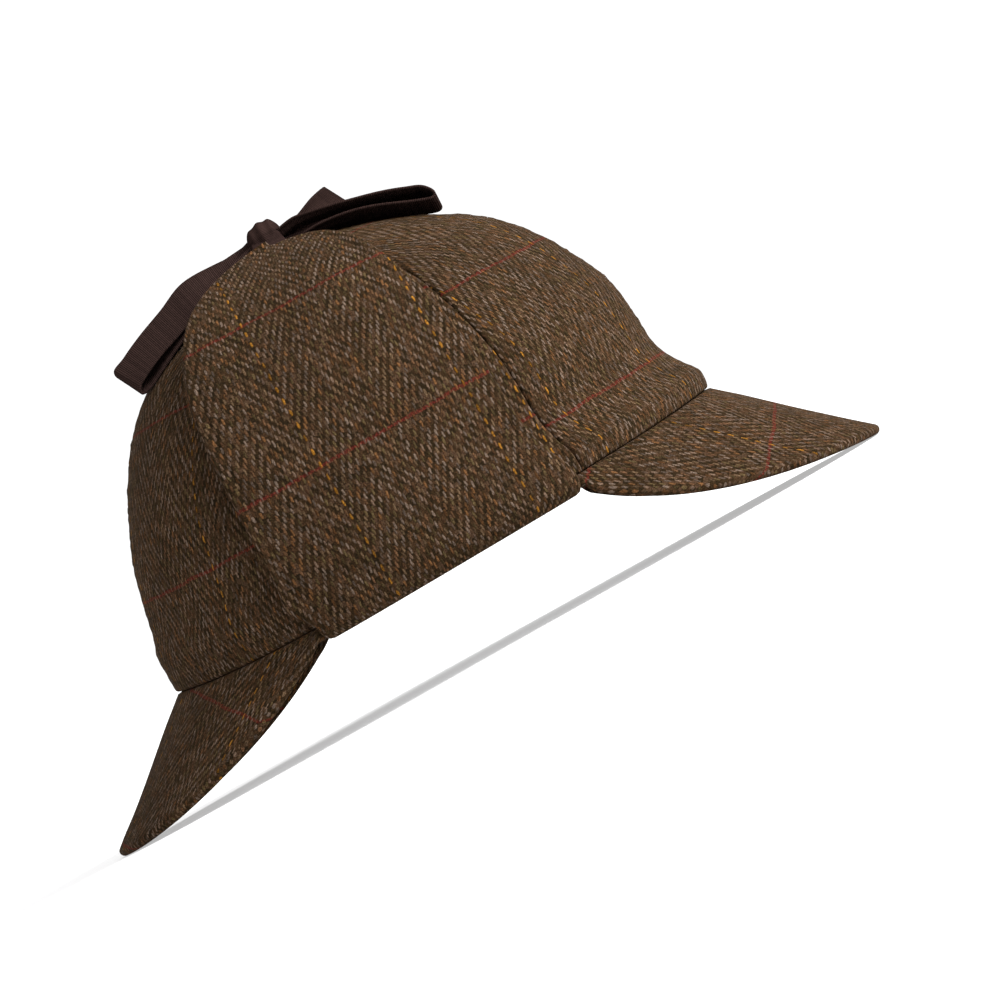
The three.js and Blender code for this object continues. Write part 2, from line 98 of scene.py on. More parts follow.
# A flap's edges: how far along it, its back and front reach and its stand-off, as shares.
FLAP_OUTLINE = [
    (0.00, 0.95, 0.97, 0.00),
    (0.06, 0.97, 0.93, 0.25),
    (0.16, 0.92, 0.86, 0.75),
    (0.30, 0.895, 0.84, 1.00),
    (0.44, 0.865, 0.80, 1.00),
    (0.56, 0.83, 0.75, 1.00),
    (0.66, 0.775, 0.675, 1.00),
    (0.76, 0.69, 0.595, 0.90),
    (0.84, 0.58, 0.52, 0.75),
    (0.91, 0.43, 0.43, 0.60),
    (0.96, 0.29, 0.33, 0.50),
    (1.00, 0.13, 0.17, 0.40),
    (1.01, 0.03, 0.05, 0.40),
]

# The bow's ribbons from the knot outwards: reach as a share of the length, lift over the crown
# and drift to the left as shares of the knot's height and the ribbon's width, width as a share
# of the ribbon's, and in degrees the roll, which lifts the ribbon's left edge, and the lean of
# that edge to the front.
FRONT_LOOP_PATH = [
    (0.00, 0.52, 0.00, 0.60, 0, 0),
    (0.12, 0.60, -0.02, 0.72, -6, 0),
    (0.26, 0.56, -0.05, 0.85, -8, 0),
    (0.52, 0.572, -0.08, 1.00, -10.1, 0),
    (0.76, 0.66, -0.08, 1.00, -11.8, 0),
    (0.85, 0.70, -0.08, 1.00, -11.8, 0),
    (0.95, 0.74, -0.08, 1.00, -11.8, 0),
    (1.00, 0.58, -0.08, 1.00, -11.8, 0),
    (0.97, 0.38, -0.08, 1.00, -11.8, 0),
    (0.85, 0.28, -0.08, 1.00, -12.1, 0),
    (0.76, 0.248, -0.08, 1.00, -12.7, 0),
    (0.52, 0.224, -0.08, 1.00, -12.7, 0),
    (0.26, 0.204, -0.05, 0.85, -11.2, 0),
    (0.00, 0.20, 0.00, 0.60, -5, 0),
]
BACK_LOOP_PATH = [
    (0.00, 0.54, -0.05, 0.60, 15, 0),
    (0.22, 0.536, -0.20, 0.85, 26.6, -8),
    (0.43, 0.652, -0.35, 1.00, 30.7, -14),
    (0.60, 0.572, -0.42, 1.00, 32.8, -18),
    (0.77, 0.636, -0.42, 1.00, 31.8, -20),
    (0.91, 0.704, -0.42, 1.00, 31.5, -26),
    (0.985, 0.776, -0.42, 1.00, 33.7, -30),
    (0.975, 0.504, -0.42, 1.00, 28.9, -25),
    (0.87, 0.136, -0.42, 1.00, 16.9, -13),
    (0.65, 0.136, -0.42, 1.00, 16.9, -5),
    (0.39, 0.16, -0.35, 0.95, 14, 0),
    (0.14, 0.18, -0.18, 0.75, 8, 0),
    (0.00, 0.16, -0.05, 0.60, 4, 0),
]
FRONT_TAIL_PATH = [
    (0.00, 0.47, 0.36, 0.30, 60, 0),
    (0.35, 0.55, 0.54, 0.38, 78, -14),
    (0.70, 0.65, 0.67, 0.72, 85, -20),
    (1.00, 0.74, 0.73, 1.00, 85, -27),
]
BACK_TAIL_PATH = [
    (0.00, 0.60, 0.20, 0.40, 0, 0),
    (0.30, 0.50, 0.55, 0.75, -8, 0),
    (0.65, 0.30, 1.05, 1.00, -20, 0),
    (1.00, 0.00, 1.50, 1.00, -30, 0),
]

# The weave, as counted in the photograph: threads a millimetre apart or so, in a two over, one
# under twill that turns back every 15 ends, with a yellow end every 60 and a red pick every 36.
END_PITCH = 0.858
PICK_PITCH = 1.61
TWILL_REPEAT = 3
ENDS_TO_TURN = 15
YELLOW_EVERY = 60
RED_EVERY = 36
RIB_PITCH = 0.62

PHOTO_TILT = math.radians(30.6)
PHOTO_CENTRE = (23.7, 5.87)
PHOTO_WIDTH = 343.2
CAMERA_DISTANCE = 2000
SENSOR_WIDTH = 36


# Smooth interpolation

def smooth_table(rows):
    """Makes a function that gives a table's columns at shares of the table's length."""
    table = np.array(rows, float)
    last = len(table) - 1

    def at(share):
        place = np.clip(np.asarray(share, float), 0, 1) * last
        low = place.astype(int)
        weight = (place - low)[..., None]
        before, start = table[np.maximum(low - 1, 0)], table[low]
        end, after = table[np.minimum(low + 1, last)], table[np.minimum(low + 2, last)]
        leaving, arriving = (end - before) / 2, (after - start) / 2
        cubic = 2 * start - 2 * end + leaving + arriving
        square = 3 * end - 3 * start - 2 * leaving - arriving
        return np.moveaxis(((cubic * weight + square) * weight + leaving) * weight + start, -1, 0)

    return at


def read_by(table, value):
    """Reads a table by the value of its rising first column."""
    shares = np.linspace(0, 1, 4001)
    return table(np.interp(value, table(shares)[0], shares))


def lerp(start, end, share):
    return start + (end - start) * share


def smoothstep(value, low, high):
    share = np.clip((value - low) / (high - low), 0, 1)
    return share * share * (3 - 2 * share)


def unit(vectors):
    return vectors / np.maximum(np.linalg.norm(vectors, axis=-1, keepdims=True), 1e-12)


def points_of(x, y, z):
    return np.stack(np.broadcast_arrays(x, y, z), axis=-1).astype(float)


def graded(low, high, fine, coarse, fine_reach, both=True):
    """Steps from low to high, fine within fine_reach of the high end, or of both ends."""
    edge = np.arange(0, fine_reach, fine)
    first = low + (fine_reach if both else 0)
    middle = np.linspace(first, high - fine_reach, max(2, round((high - first) / coarse)))
    start = low + edge if both else []
    return np.concatenate([start, middle, (high - edge)[::-1]])


# The crown's surface

crown_at = smooth_table(CROWN_SECTIONS)
NUDGE = 1e-3


def rim_edge_height(turn):
    rise = np.where(np.cos(turn) < 0, RIM_RISE_BACK, RIM_RISE_FRONT)
    return rise * np.cos(turn) ** 4


def crown_point(turn, climb):
    """The crown's outer face: turn round from the front to the left, climb from 0 to 1."""
    up, front, back, side = crown_at(climb)
    lengthways = np.where(np.cos(turn) < 0, back, front)
    return points_of(
        RIM_HALF_LENGTH * lengthways * np.cos(turn),
        RIM_HALF_WIDTH * side * np.sin(turn),
        lerp(rim_edge_height(turn), CROWN_HEIGHT, up),
    )


def crown_normal(turn, climb):
    low, high = np.maximum(climb - NUDGE, 0), np.minimum(climb + NUDGE, 1 - NUDGE)
    around = crown_point(turn + NUDGE, climb) - crown_point(turn - NUDGE, climb)
    upward = crown_point(turn, high) - crown_point(turn, low)
    return unit(np.cross(around, upward))


def half_length(x, climb):
    _, front, back, _ = crown_at(climb)
    return RIM_HALF_LENGTH * np.where(np.asarray(x) < 0, back, front)


def turn_at_x(x, climb, way):
    return way * np.arccos(np.clip(x / half_length(x, climb), -1, 1))


def climb_closing_at(x):
    """Where the crown closes to the half-length of x, as a climb."""
    climbs = np.linspace(0.2, 1, 8001)
    front, back = half_length(1, climbs), half_length(-1, climbs)
    x = np.asarray(x, float)
    closing_front = np.interp(-np.abs(x), -front, climbs)
    closing_back = np.interp(-np.abs(x), -back, climbs)
    return np.minimum(np.where(x < 0, closing_back, closing_front), 1 - 1e-6)


def climb_after(x, distance):
    """The climb reached after walking distance up the crown from its rim, in the cut at x."""
    steps = np.linspace(0, 1, 61).reshape((-1,) + (1,) * np.ndim(x))
    climbs = climb_closing_at(x) * (1 - (1 - steps) ** 2)
    slice_points = crown_point(turn_at_x(x, climbs, 1), climbs)
    pieces = np.linalg.norm(np.diff(slice_points, axis=0), axis=-1)
    walked = np.concatenate([np.zeros((1,) + np.shape(x)), np.cumsum(pieces, axis=0)])
    after = np.clip((walked < distance).sum(axis=0), 1, len(climbs) - 1)[None]
    start, end = (np.take_along_axis(walked, at, 0)[0] for at in (after - 1, after))
    low, high = (np.take_along_axis(climbs, at, 0)[0] for at in (after - 1, after))
    return lerp(low, high, np.clip((distance - start) / (end - start), 0, 1))


def crown_top_line(x):
    """The height of the crown's middle line over x."""
    up = crown_at(climb_closing_at(x))[0]
    edge = np.where(np.asarray(x) < 0, RIM_RISE_BACK, RIM_RISE_FRONT)
    return lerp(edge, CROWN_HEIGHT, up)


# The hat at rest: tipped about its width and lifted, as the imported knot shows.

def rest_placement():
    low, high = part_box("bow_knot")
    centre = (low + high) / (2 * MM)
    tilt = math.asin(centre.x / KNOT_MIDDLE_HEIGHT)
    return tilt, centre.z - KNOT_MIDDLE_HEIGHT * math.cos(tilt)


REST_TILT, REST_LIFT = rest_placement()


def turned(vectors):
    x, y, z = np.moveaxis(np.asarray(vectors, float), -1, 0)
    cosine, sine = math.cos(REST_TILT), math.sin(REST_TILT)
    return points_of(x * cosine + z * sine, y, z * cosine - x * sine)


def resting(points):
    """Points of the upright hat in millimetres, as they stand in the frame, in metres."""
    return (turned(points) + (0, 0, REST_LIFT)) * MM


# Uneven cloth

WAVE_COUNT = 7


def waves(points, size, length, seed):
    """A smooth uneven height over points, about size high and length long."""
    draws = np.random.default_rng(seed)
    height = np.zeros(points.shape[:-1])
    for _ in range(WAVE_COUNT):
        direction = unit(draws.normal(size=3)) / (length * draws.uniform(0.7, 1.5))
        height += np.sin(2 * math.pi * (points @ direction + draws.uniform()))
    return height * size / math.sqrt(WAVE_COUNT)


def wobble(along, size, length, seed):
    """The same along one line."""
    return waves(points_of(along, 0 * along, 0 * along), size, length / 2, seed)


def rolled_edge(distance, radius):
    """How far a surface falls as it rolls over into its edge."""
    inside = np.clip(1 - distance / radius, 0, 1)
    return radius * (1 - np.sqrt(1 - inside ** 2))


# Closed meshes from two faces of a bent sheet

NO_CAPS = np.zeros((0, 3), int)


def grid_ring(rows, columns):
    """The row and column of each point round the edge of a grid."""
    first = [(0, column) for column in range(columns)]
    right = [(row, columns - 1) for row in range(1, rows)]
    last = [(rows - 1, column) for column in range(columns - 2, -1, -1)]
    left = [(row, 0) for row in range(rows - 2, 0, -1)]
    return np.array(first + right + last + left).T


def grid_quads(indices):
    a, b = indices[:-1, :-1], indices[:-1, 1:]
    c, d = indices[1:, 1:], indices[1:, :-1]
    return np.stack([a, b, c, d], axis=-1).reshape(-1, 4)


def edge_loops(outer, inner, weave, bulge, loops=5):
    """Rows of points that carry a sheet's outer face round its edge to its inner face."""
    ring = tuple(grid_ring(*outer.shape[:2]))
    limit = np.array(outer.shape[:2])[:, None] - 2
    inside = tuple(np.clip(ring, 1, limit))
    start, end = outer[ring], inner[ring]
    through = (start - end) / 2
    tangent = np.roll(start, -1, axis=0) - np.roll(start, 1, axis=0)
    outward = unit(np.cross(unit(through), tangent))
    if (outward * (start - outer[inside])).sum() < 0:
        outward = -outward
    radius = np.linalg.norm(through, axis=-1, keepdims=True)
    weave_out = unit(weave[ring] - weave[inside])
    bulges = bulge[ring][:, None] * radius
    points, marks = [start], [weave[ring]]
    for angle in np.linspace(0, math.pi, loops + 2)[1:]:
        across = (start + end) / 2 + through * math.cos(angle)
        points.append(across + outward * bulges * math.sin(angle))
        marks.append(weave[ring] + weave_out * radius * angle)
    return np.stack(points), np.stack(marks)


def closed_sheet(name, outer, inner, weave, bulge=None):
    """One closed mesh from grids of points for a sheet's two faces. weave gives each point's
    place in the cloth and bulge how round the edge is, from 0 to 1."""
    rows, columns = outer.shape[:2]
    bulge = np.ones((rows, columns)) if bulge is None else bulge
    loop_points, loop_weave = edge_loops(outer, inner, weave, bulge)
    count = rows * columns
    face = np.arange(count).reshape(rows, columns)
    ring = tuple(grid_ring(rows, columns))
    size = len(ring[0])
    loops = len(loop_points) - 2
    between = 2 * count + np.arange(loops * size).reshape(loops, size)
    strip = np.vstack([face[ring], between, face[ring] + count])
    strip = np.hstack([strip, strip[:, :1]])
    marks = 2 * count + np.arange((loops + 2) * size).reshape(loops + 2, size)
    marks = np.hstack([marks, marks[:, :1]])
    faces = [grid_quads(face), grid_quads(face + count)[:, ::-1]]
    quads = np.vstack(faces + [grid_quads(strip)[:, ::-1]])
    mark_quads = np.vstack(faces + [grid_quads(marks)[:, ::-1]])
    points = np.vstack([grid.reshape(-1, 3) for grid in (outer, inner, loop_points[1:-1])])
    places = np.vstack([grid.reshape(-1, 2) for grid in (weave, weave, loop_weave)])
    return mesh_piece(name, points, quads, places[mark_quads])


def placed(name, data):
    """A new object of the scene that holds the data."""
    thing = bpy.data.objects.new(name, data)
    bpy.context.scene.collection.objects.link(thing)
    return thing


def signed_volume(points, quads):
    a, b, c, d = (points[quads[:, corner]] for corner in range(4))
    return (np.cross(a, b) * c).sum() + (np.cross(a, c) * d).sum()


def mesh_piece(name, points, quads, places, caps=NO_CAPS):
    """A smooth mesh object in the rest frame, with its cloth places as a UV map. Its caps are
    triangles, and all lie at the map's zero."""
    if signed_volume(points, quads) < 0:
        quads, places, caps = quads[:, ::-1], places[:, ::-1], caps[:, ::-1]
    mesh = bpy.data.meshes.new(name)
    mesh.from_pydata(resting(points).tolist(), [], quads.tolist() + caps.tolist())
    layer = mesh.uv_layers.new(name="Cloth")
    places = np.vstack([places.reshape(-1, 2), np.zeros((caps.size, 2))])
    layer.data.foreach_set("uv", places.reshape(-1).astype(np.float32))
    mesh.shade_smooth()
    return placed(name, mesh)


def wear(piece, node, material):
    """The piece stands for its CAD node and takes its place on the hat."""
    piece.data.materials.append(material)
    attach(piece, "root")
    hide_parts(node)


# Materials

def linear(red, green, blue):
    """A colour given as it shows on a screen, from 0 to 255, as the shader wants it."""
    def channel(value):
        share = value / 255
        return share / 12.92 if share <= 0.04045 else ((share + 0.055) / 1.055) ** 2.4
    return (channel(red), channel(green), channel(blue), 1)


class Nodes:
    """Short calls for the nodes of one material."""

    def __init__(self, name):
        self.material = bpy.data.materials.new(name)
        self.material.use_nodes = True
        self.tree = self.material.node_tree
        self.shader = self.tree.nodes["Principled BSDF"]

    def feed(self, socket, value):
        if isinstance(value, bpy.types.NodeSocket):
            self.tree.links.new(value, socket)
        else:
            socket.default_value = value

    def add(self, kind, inputs, output=0, **settings):
        node = self.tree.nodes.new(kind)
        for name, value in settings.items():
            setattr(node, name, value)
        for key, value in inputs.items():
            self.feed(node.inputs[key], value)
        return node.outputs[output]

    def math(self, operation, *values):
        return self.add("ShaderNodeMath", dict(enumerate(values)), operation=operation)

    def mix(self, share, first, second, blend="MIX"):
        inputs = {0: share, 6: first, 7: second}
        return self.add("ShaderNodeMix", inputs, output=2, data_type="RGBA", blend_type=blend)

    def ramp(self, share, stops, interpolation="LINEAR"):
        node = self.tree.nodes.new("ShaderNodeValToRGB")
        node.color_ramp.interpolation = interpolation
        elements = node.color_ramp.elements
        while len(elements) < len(stops):
            elements.new(0.5)
        for element, (place, colour) in zip(elements, stops):
            element.position = place
            element.color = colour
        self.feed(node.inputs[0], share)
        return node.outputs[0]

    def step(self, value, low, high, start=0.0, end=1.0):
        """Rises smoothly from start to end as value goes from low to high."""
        inputs = {0: value, 1: low, 2: high, 3: start, 4: end}
        return self.add("ShaderNodeMapRange", inputs, interpolation_type="SMOOTHSTEP")

    def places(self):
        """The cloth's own coordinates, in millimetres."""
        place = self.add("ShaderNodeUVMap", {}, uv_map="Cloth")
        parts = self.tree.nodes.new("ShaderNodeSeparateXYZ")
        self.feed(parts.inputs[0], place)
        return parts.outputs[0], parts.outputs[1]

    def pair(self, first, second):
        return self.add("ShaderNodeCombineXYZ", {0: first, 1: second})

    def noise(self, place, scale, detail=2.0):
        inputs = {"Vector": place, "Scale": scale, "Detail": detail}
        return self.add("ShaderNodeTexNoise", inputs, noise_dimensions="2D")

    def chance(self, place):
        return self.add("ShaderNodeTexWhiteNoise", {"Vector": place}, noise_dimensions="2D")

    def rounded(self, share):
        """A hump over a share from 0 to 1: nothing at both ends and one in the middle."""
        rest = self.math("SUBTRACT", 1.0, share)
        return self.math("MULTIPLY", self.math("MULTIPLY", share, rest), 4.0)

    def shaded(self, colour, shade):
        grey = self.add("ShaderNodeCombineColor", {0: shade, 1: shade, 2: shade})
        return self.mix(1.0, colour, grey, "MULTIPLY")

    def finish(self, roughness, gloss, sheen, sheen_colour):
        self.shader.inputs["Roughness"].default_value = roughness
        self.shader.inputs["Specular IOR Level"].default_value = gloss
        self.shader.inputs["Sheen Weight"].default_value = sheen
        self.shader.inputs["Sheen Roughness"].default_value = 0.6
        self.shader.inputs["Sheen Tint"].default_value = sheen_colour


def swaying_threads(nodes, across, along):
    """Numbers the ends and picks under each place, a little uneven, so none runs dead straight."""
    cloth = nodes.pair(across, along)
    slow = nodes.math("SUBTRACT", nodes.noise(cloth, 0.09), 0.5)
    quick = nodes.math("MULTIPLY", nodes.math("SUBTRACT", nodes.noise(cloth, 0.8), 0.5), 0.55)
    sway = nodes.math("ADD", slow, quick)
    ends = nodes.math("ADD", nodes.math("DIVIDE", across, END_PITCH), sway)
    picks = nodes.math("ADD", nodes.math("DIVIDE", along, PICK_PITCH), sway)
    return ends, picks


def every(nodes, number, count):
    """One at each whole number that count divides, and nothing at the others."""
    left_over = nodes.math("MODULO", nodes.math("ABSOLUTE", number), float(count))
    return nodes.math("COMPARE", left_over, 0.0, 0.5)


FLOAT_SHARE = 0.58


def floats_of(nodes, end, in_end, picks):
    """How high the warp floats stand, from 0 to 1, and the number of each along its end. The twill
    climbs away from a yellow end and turns back every fifteen ends."""
    fold = nodes.math("PINGPONG", end, float(ENDS_TO_TURN))
    climb = nodes.math("DIVIDE", nodes.math("SUBTRACT", picks, fold), float(TWILL_REPEAT))
    over = nodes.math("DIVIDE", nodes.math("FRACT", climb), FLOAT_SHARE)
    hump = nodes.math("POWER", nodes.rounded(nodes.math("MINIMUM", over, 1.0)), 0.8)
    width = nodes.math("POWER", nodes.rounded(in_end), 0.8)
    return nodes.math("MULTIPLY", hump, width), nodes.math("FLOOR", climb)


def yarn_colours(nodes, end, float_number, yellow_end):
    """Mottled warp yarn: each float shows its own fleck, lighter or darker than the next."""
    chance = nodes.chance(nodes.pair(end, float_number))
    yarn = nodes.ramp(chance, [
        (0.00, linear(77, 65, 56)),
        (0.24, linear(69, 54, 39)),
        (0.46, linear(76, 61, 50)),
        (0.64, linear(70, 49, 33)),
        (0.78, linear(60, 49, 31)),
        (0.92, linear(76, 51, 30)),
    ], "CONSTANT")
    yarn = nodes.mix(yellow_end, yarn, linear(104, 69, 22))
    chance = nodes.chance(nodes.pair(float_number, end))
    return nodes.shaded(yarn, nodes.step(chance, 0.0, 1.0, 0.58, 1.38))


# The weft yarn's colours, kept darker than the warp's: partly the weft's own colour, partly painted
# shade in the gaps between the warp floats.
def weft_colours_and_gap_shade(nodes, pick, end):
    return nodes.ramp(nodes.chance(nodes.pair(pick, end)), [
        (0.00, linear(48, 35, 21)),
        (0.35, linear(60, 43, 28)),
        (0.60, linear(38, 29, 17)),
        (0.85, linear(70, 52, 38)),
    ], "CONSTANT")


def tweed_material():
    nodes = Nodes("tweed")
    across, along = nodes.places()
    ends, picks = swaying_threads(nodes, across, along)
    end, in_end = nodes.math("FLOOR", ends), nodes.math("FRACT", ends)
    pick, in_pick = nodes.math("FLOOR", picks), nodes.math("FRACT", picks)
    warp, float_number = floats_of(nodes, end, in_end, picks)

    yarn = yarn_colours(nodes, end, float_number, every(nodes, end, YELLOW_EVERY))
    colour = nodes.mix(nodes.step(warp, 0.15, 0.75), weft_colours_and_gap_shade(nodes, pick, end), yarn)
    red_width = nodes.step(nodes.rounded(in_pick), 0.35, 0.8)
    red = nodes.math("MULTIPLY", every(nodes, pick, RED_EVERY), red_width)
    red = nodes.math("MULTIPLY", red, nodes.step(warp, 0.9, 0.3, 0.25, 0.95))
    fibres = nodes.noise(nodes.pair(nodes.math("MULTIPLY", across, 2.2), along), 1.7, 3.0)
    red = nodes.math("MULTIPLY", red, nodes.step(fibres, 0.35, 0.65, 0.35, 1.0))
    colour = nodes.mix(red, colour, linear(84, 30, 24))
    patches = nodes.noise(nodes.pair(across, along), 0.035)
    # The cloth's brightness: random fibre and patch variation, and painted shade where the warp
    # floats sink.
    shade = nodes.step(fibres, 0.28, 0.72, 0.36, 1.4)
    # Painted shade: the colour is darkened where the warp floats sink, at their ends and edges and
    # in the hollows between them.
    shade = nodes.math("MULTIPLY", shade, nodes.step(warp, 0.0, 0.7, 0.66, 1.0))
    shade = nodes.math("MULTIPLY", shade, nodes.step(patches, 0.3, 0.7, 0.92, 1.08))
    nodes.feed(nodes.shader.inputs["Base Color"], nodes.shaded(colour, shade))

    height = nodes.math("ADD", warp, nodes.math("MULTIPLY", fibres, 0.5))
    bump = nodes.add("ShaderNodeBump", {"Strength": 0.8, "Distance": 0.00025, "Height": height})
    nodes.feed(nodes.shader.inputs["Normal"], bump)
    nodes.finish(roughness=0.95, gloss=0.02, sheen=0.02, sheen_colour=linear(190, 150, 110))
    return nodes.material


def grosgrain_material():
    """Ribbed ribbon: ribs run across it, with the odd lighter one. Each rib is painted lighter on
    its crest and darker in its grooves, as painted shade.
    """
    nodes = Nodes("grosgrain")
    across, along = nodes.places()
    ribs = nodes.math("DIVIDE", along, RIB_PITCH)
    rib = nodes.rounded(nodes.math("FRACT", ribs))
    chance = nodes.chance(nodes.pair(nodes.math("FLOOR", ribs), 0.0))
    wisps = nodes.noise(nodes.pair(nodes.math("MULTIPLY", across, 2.0), along), 0.9, 3.0)
    # Painted shade: each rib's crest is lighter and the grooves between ribs darker; the odd
    # lighter rib and the wisps are random variation.
    rib_shade_and_tone = nodes.math("ADD", nodes.math("MULTIPLY", rib, 0.55), nodes.math("MULTIPLY", chance, 0.2))
    rib_shade_and_tone = nodes.math("ADD", rib_shade_and_tone, nodes.math("MULTIPLY", wisps, 0.3))
    colour = nodes.ramp(rib_shade_and_tone, [(0.1, linear(15, 11, 10)), (0.9, linear(49, 36, 33))])
    nodes.feed(nodes.shader.inputs["Base Color"], colour)
    bump = nodes.add("ShaderNodeBump", {"Strength": 1.0, "Distance": 0.0002, "Height": rib})
    nodes.feed(nodes.shader.inputs["Normal"], bump)
    nodes.finish(roughness=0.8, gloss=0.0, sheen=0.0, sheen_colour=linear(150, 125, 120))
    return nodes.material


TWEED = tweed_material()
GROSGRAIN = grosgrain_material()


# Crown panels

SEAM_ROLL = 1.5
SEAM_OVERLAP = 0.08
PUCKER = 0.22
PUCKER_LENGTH = 9
PUCKER_REACH = 5
CLOTH_WAVE = 0.5
CLOTH_WAVE_LENGTH = 60
CLOTH_CALM = 20
UPWARD_STEPS = (0.3, 1.3, 2.4)
SIDEWAYS_STEPS = (0.006, 0.03, 0.072)


def crown_panel(name, index, weave_zero):
    """One gore. weave_zero is where its yellow and red threads cross, from the middle of its
    lower edge: towards the front or back centre, and up."""
    middle_turn = (index + 0.5) * PANEL_TURN
    climbs = climb_closing_at(0.5) * (1 - (1 - np.linspace(0, 1, 400)) ** 2)
    line = crown_point(middle_turn, climbs)
    walked = np.concatenate([[0], np.cumsum(np.linalg.norm(np.diff(line, axis=0), axis=-1))])
    up = graded(0, walked[-1], *UPWARD_STEPS, both=False)
    up = walked[-1] - up[::-1]
    climb = np.interp(up, walked, climbs)[:, None]
    share = graded(-1, 1, *SIDEWAYS_STEPS)[None, :]

    turn = middle_turn + share * PANEL_TURN / 2
    pace = crown_point(turn + NUDGE, climb) - crown_point(turn - NUDGE, climb)
    pace = np.linalg.norm(pace, axis=-1) / (2 * NUDGE)
    turn = turn + share * SEAM_OVERLAP / pace
    surface = crown_point(turn, climb)
    normal = crown_normal(turn, climb)
    half_width = PANEL_TURN / 2 * pace
    to_seam = (1 - np.abs(share)) * half_width
    roll = np.minimum(SEAM_ROLL, half_width / 4)
    dip = np.maximum(rolled_edge(to_seam, roll), rolled_edge(up[:, None], SEAM_ROLL) + 0 * to_seam)
    seed = 40 + index
    pucker = wobble(up[:, None] + 31 * np.sign(share), PUCKER, PUCKER_LENGTH, seed)
    pucker = pucker * np.exp(-(to_seam / PUCKER_REACH) ** 2)
    wave = waves(surface, CLOTH_WAVE, CLOTH_WAVE_LENGTH, 5)
    wave = wave * smoothstep(up[:, None], 0, CLOTH_CALM)
    lift = (wave + pucker)[..., None]
    outer = surface + normal * (lift - dip[..., None])
    level = unit(normal * (1, 1, 0))
    inward = np.where(up[:, None, None] < 1, level, normal)
    inner = surface + normal * lift - inward * CROWN_WALL

    flip = 1 if index in (2, 5) else -1
    sideways = flip * share * half_width - weave_zero[0]
    weave = np.stack(np.broadcast_arrays(sideways, up[:, None] - weave_zero[1]), -1)
    piece = closed_sheet(name + "_cloth", outer, inner, weave, np.zeros(outer.shape[:2]))
    wear(piece, name, TWEED)


PANELS = {
    "crown_panel_front_left": (11, 19.5),
    "crown_panel_side_left": (4, 24),
    "crown_panel_back_left": (26.5, 33),
    "crown_panel_back_right": (26.5, 33),
    "crown_panel_side_right": (4, 24),
    "crown_panel_front_right": (11, 19.5),
}
for panel_index, (panel_name, panel_zero) in enumerate(PANELS.items()):
    crown_panel(panel_name, panel_index, panel_zero)


# Peaks

SEAM_TUCK = 0.45
PEAK_WAVE = 0.35
PEAK_WAVE_LENGTH = 45
PEAK_CALM_ROOT = 15
PEAK_CALM_EDGE = 12


def peak(name, way, depth, dip_middle, dip_end, fan, roundness, full, weave_zero):
    """A stiff peak from its root under the crown's lower edge out to its free edge."""
    radius = PEAK_WALL / 2
    across = np.sin(graded(-1, 1, 0.004, 0.02, 0.03) * math.pi / 2)[:, None]
    turn = across * PEAK_HALF_TURN
    rim_turn = turn if way > 0 else math.pi - turn
    root = crown_point(rim_turn, 0)
    flat = 0 * turn
    heading = points_of(way * np.cos(fan * turn), np.sin(fan * turn), flat)
    inward = -unit(crown_normal(rim_turn, flat) * (1, 1, 0))
    dip = np.radians(lerp(dip_middle, dip_end, across ** 2))
    depths = depth * np.maximum(1 - np.abs(across) ** roundness, 0) ** full
    depths = np.maximum(depths - radius, 2 - radius / 2)[..., None]
    slope = heading * np.cos(dip)[..., None] + points_of(flat, flat, -np.sin(dip))
    under = heading * -np.sin(dip)[..., None] + points_of(flat, flat, -np.cos(dip))
    start = root - (0, 0, RIM_CLEARANCE)
    down = np.array([0, 0, -1.0])

    out = graded(0, 1, 0.008, 0.028, 0.04, both=False)[None, :, None]
    along = depths * out
    top = start + heading * RIM_CLEARANCE + slope * along
    lean = smoothstep(along, 0, 3 * PEAK_WALL)
    through = unit(lerp(down, under, lean))
    calm = smoothstep(along, 0, PEAK_CALM_ROOT) * smoothstep(depths - along, 0, PEAK_CALM_EDGE)
    top = top - under * waves(top, PEAK_WAVE, PEAK_WAVE_LENGTH, 17)[..., None] * calm
    tucked = start + inward * CROWN_WALL + (0, 0, SEAM_TUCK)
    outer = np.concatenate([tucked, top], axis=1)
    inner = np.concatenate([tucked + down * PEAK_WALL, top + through * PEAK_WALL], axis=1)

    dip_angle = math.radians(dip_middle)
    ahead = np.array([way * math.cos(dip_angle), 0, -math.sin(dip_angle)])
    above = np.array([way * math.sin(dip_angle), 0, math.cos(dip_angle)])
    sideways = np.hypot(np.diff(outer[..., 1], axis=0), np.diff(outer @ above, axis=0))
    arc = np.concatenate([np.zeros((1, outer.shape[1])), np.cumsum(sideways, axis=0)])
    arc = arc - arc[len(arc) // 2]
    weave = np.stack([arc - weave_zero[0], outer @ ahead - weave_zero[1]], axis=-1)
    bulge = np.ones(outer.shape[:2])
    bulge[:, :2] = 0
    piece = closed_sheet(name + "_cloth", outer, inner, weave, bulge)
    wear(piece, name, TWEED)


peak("front_peak", 1, 59.9, 43, 63, 0.48, 1.9, 0.68, (-3.5, 97))
peak("back_peak", -1, 58.2, 38.7, 53, 0.73, 2.33, 1, (-23.5, 74))


# Ear flaps

flap_edges = smooth_table(FLAP_OUTLINE)
FOLD_HALF_LENGTH = RIM_HALF_LENGTH * math.cos(PEAK_HALF_TURN) - FLAP_FOLD_GAP


def slice_length(x):
    climbs = climb_closing_at(x) * (1 - (1 - np.linspace(0, 1, 61)) ** 2)
    line = crown_point(turn_at_x(x, climbs, 1), climbs)
    return np.linalg.norm(np.diff(line, axis=0), axis=-1).sum()


